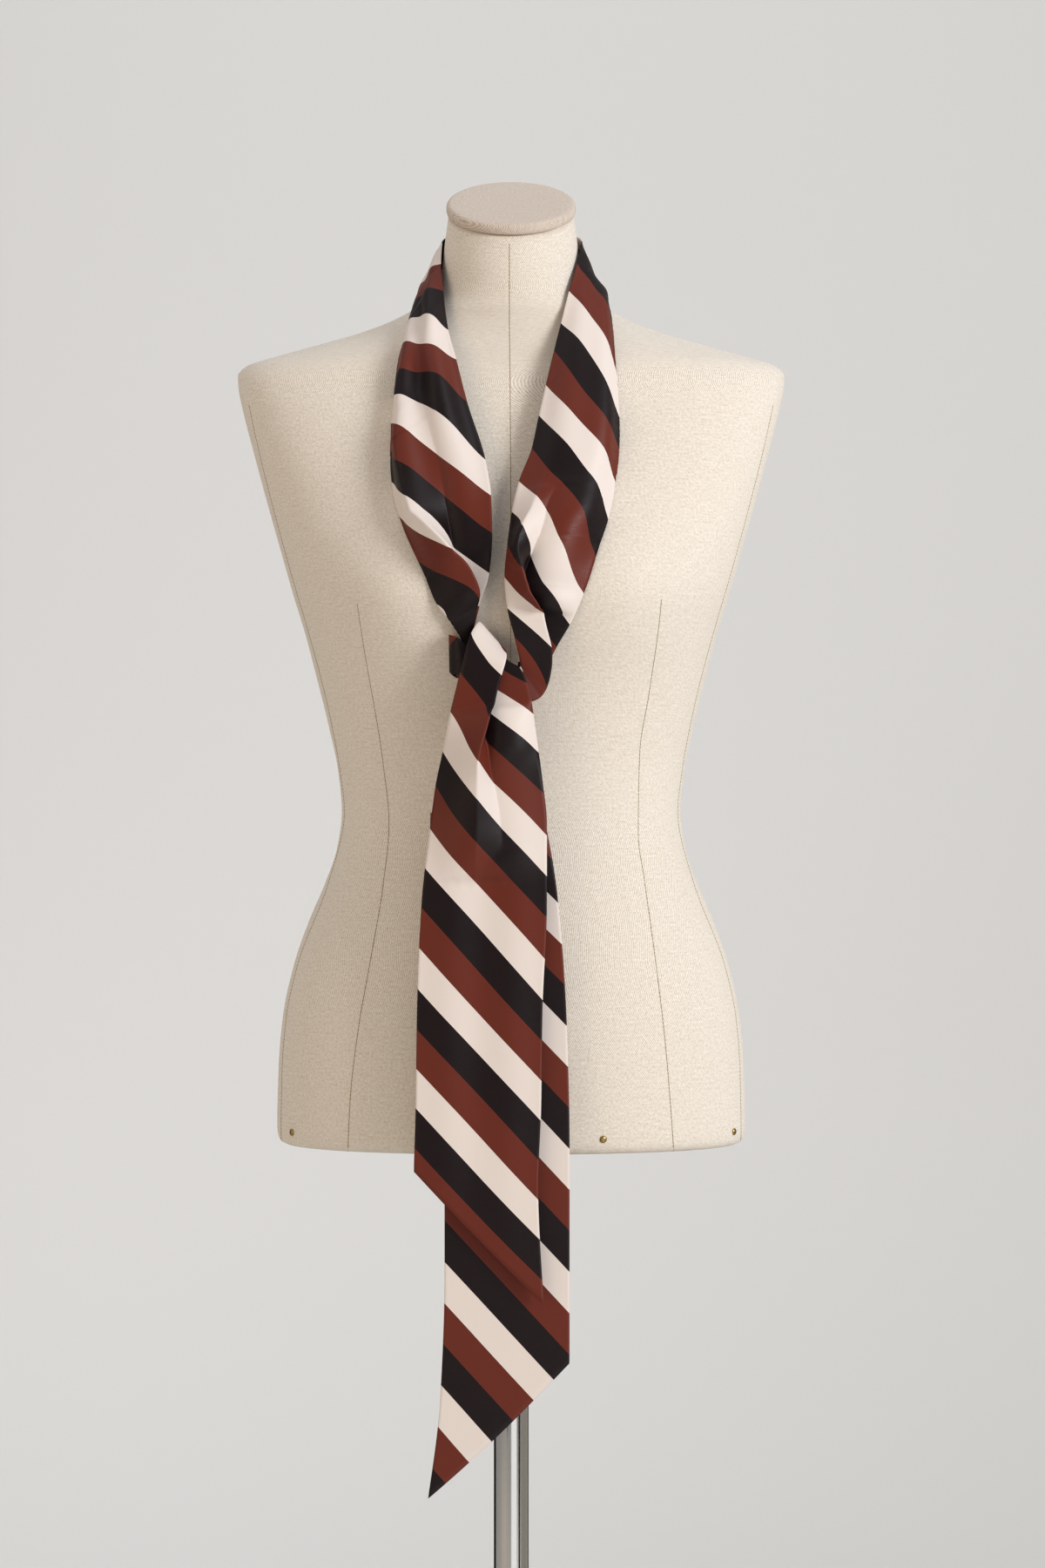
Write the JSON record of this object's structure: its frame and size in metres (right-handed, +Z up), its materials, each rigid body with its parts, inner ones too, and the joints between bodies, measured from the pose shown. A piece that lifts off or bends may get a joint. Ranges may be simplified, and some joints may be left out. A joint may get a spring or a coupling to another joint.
{
  "type": "scarf on dress form",
  "caption": "Long striped silk neck scarf, tied in a loose overhand knot on a limbless linen dress form on a pole stand; it displays the scarf.",
  "frame": {"origin": "middle of the base's underside, on the floor under the pole's axis", "axes": "+Z up the pole, -Y the front of the form, +X to the viewer's right seen from the front"},
  "size_m": [0.401, 0.32, 1.5575],
  "materials": {
    "silk": "satin",
    "linen": "matte",
    "brass": "satin",
    "chrome": "polished"
  },
  "bodies": {
    "root": {"torso": "linen", "neck_cap": "linen", "base": "chrome", "pole": "chrome", "sleeve": "chrome", "nail_1": "brass", "nail_2": "brass", "nail_3": "brass", "nail_4": "brass", "nail_5": "brass", "nail_6": "brass", "back_tail": "silk", "left_strand": "silk", "neck_wrap": "silk", "right_strand": "silk", "knot_band": "silk", "front_tail": "silk"}
  },
  "joints": []
}
